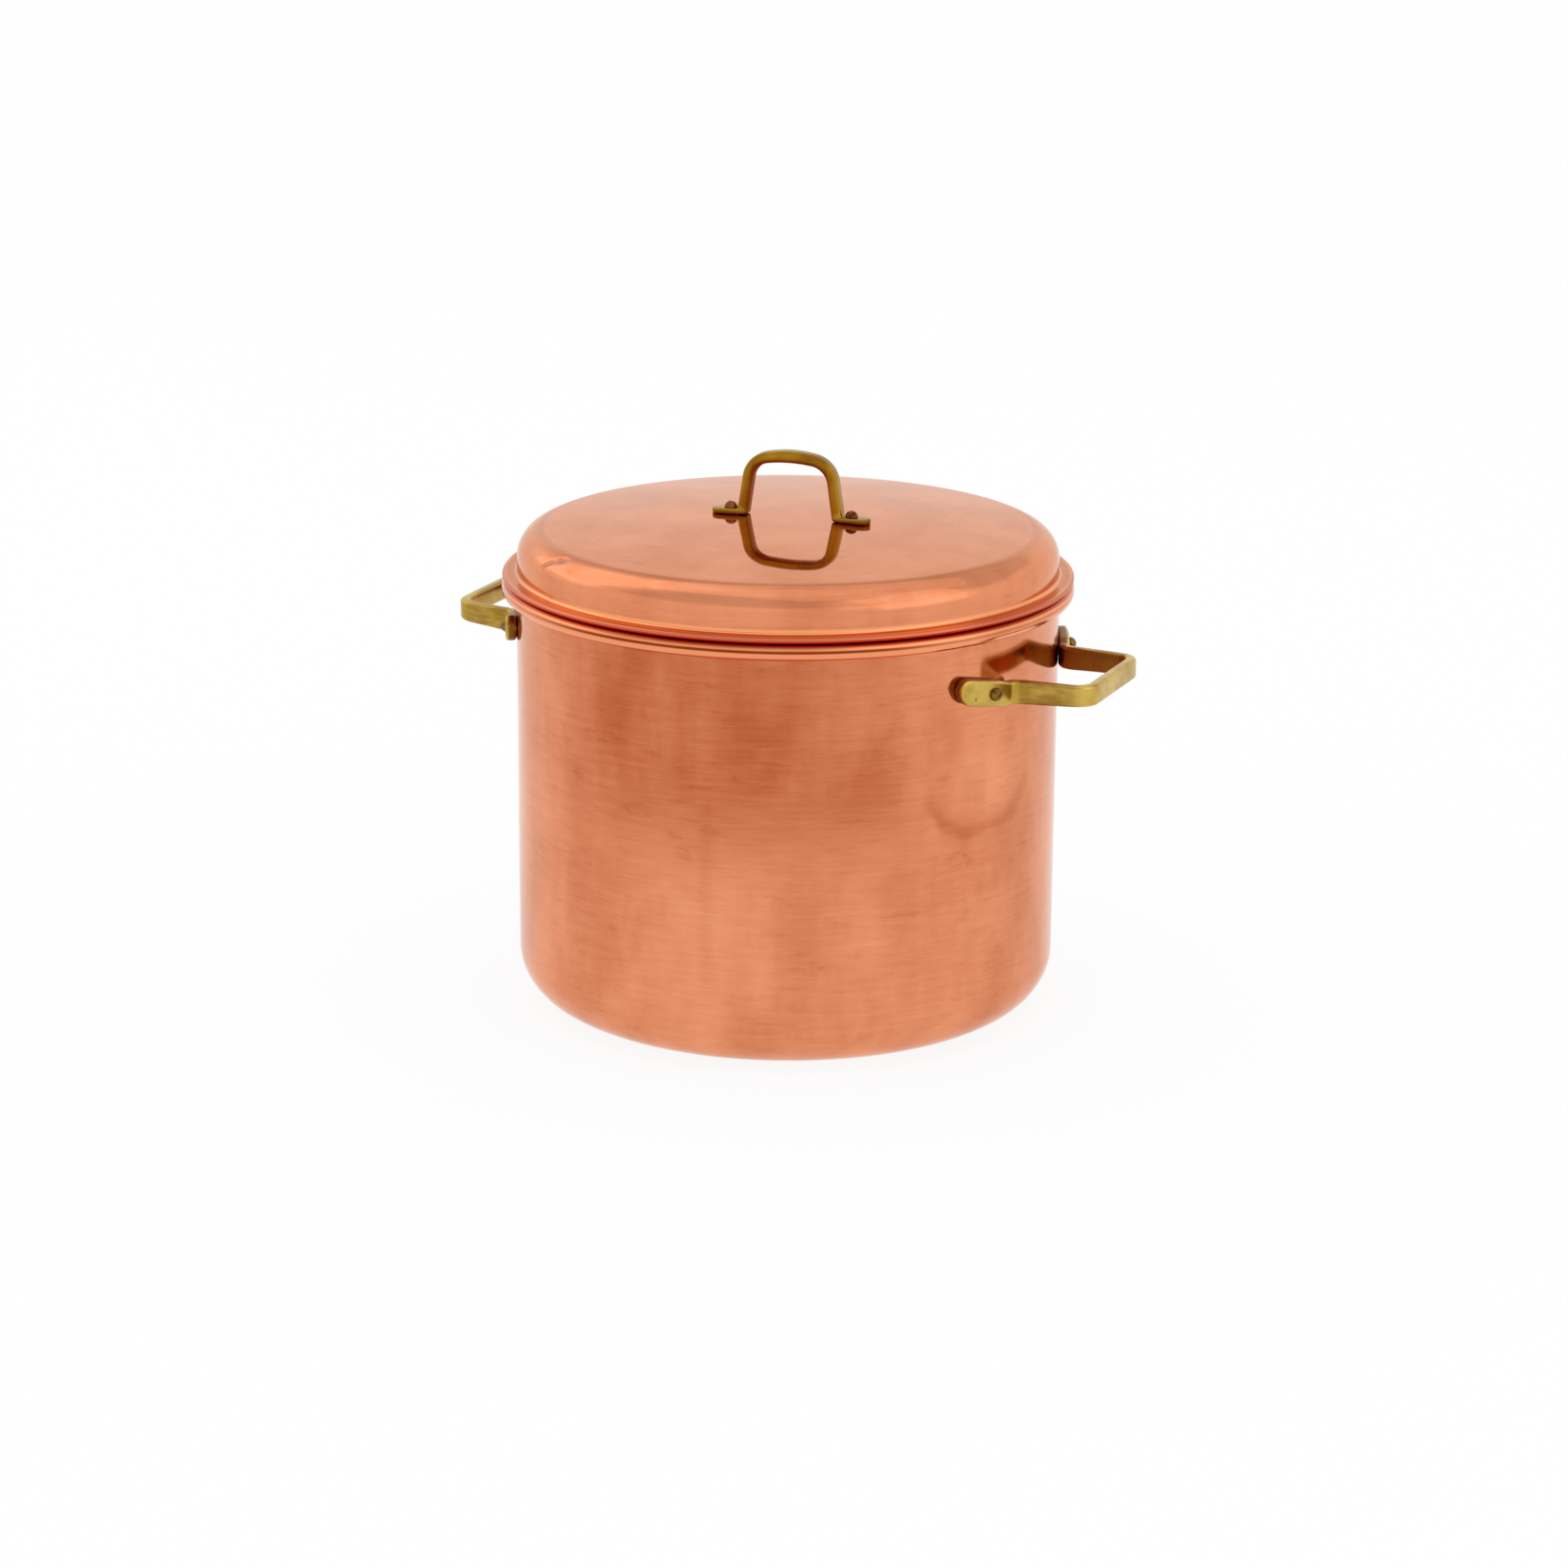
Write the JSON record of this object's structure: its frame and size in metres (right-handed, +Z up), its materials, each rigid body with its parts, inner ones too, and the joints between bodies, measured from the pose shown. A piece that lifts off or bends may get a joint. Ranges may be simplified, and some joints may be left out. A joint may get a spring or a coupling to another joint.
{
  "type": "lidded stockpot",
  "caption": "Deep round copper stockpot with a rolled rim, riveted brass loop handles on the wall, and a lift-off flanged lid that carries a riveted brass arch handle.",
  "frame": {"origin": "centre of the base's underside, on the pot's axis", "axes": "+Z up along the pot's axis, +X at the middle of the right-hand handle, -Y at the front of the pot"},
  "size_m": [0.3052, 0.2528, 0.2473],
  "materials": {
    "copper": "satin",
    "brass": "satin",
    "rivet": "satin",
    "wire": "satin"
  },
  "bodies": {
    "pot": {"pot_body": "copper", "rim_wire": "wire", "right_handle": "brass", "left_handle": "brass", "right_handle_front_rivet": "rivet", "right_handle_rear_rivet": "rivet", "left_handle_front_rivet": "rivet", "left_handle_rear_rivet": "rivet"},
    "lid": {"lid": "copper", "lid_collar": "copper", "lid_handle": "brass", "lid_handle_left_rivet": "rivet", "lid_handle_right_rivet": "rivet"}
  },
  "joints": [
    {"name": "lid_lift", "type": "slide", "parent": "pot", "child": "lid", "axis": [0, 0, 1], "range_m": [0, 0.25]}
  ]
}
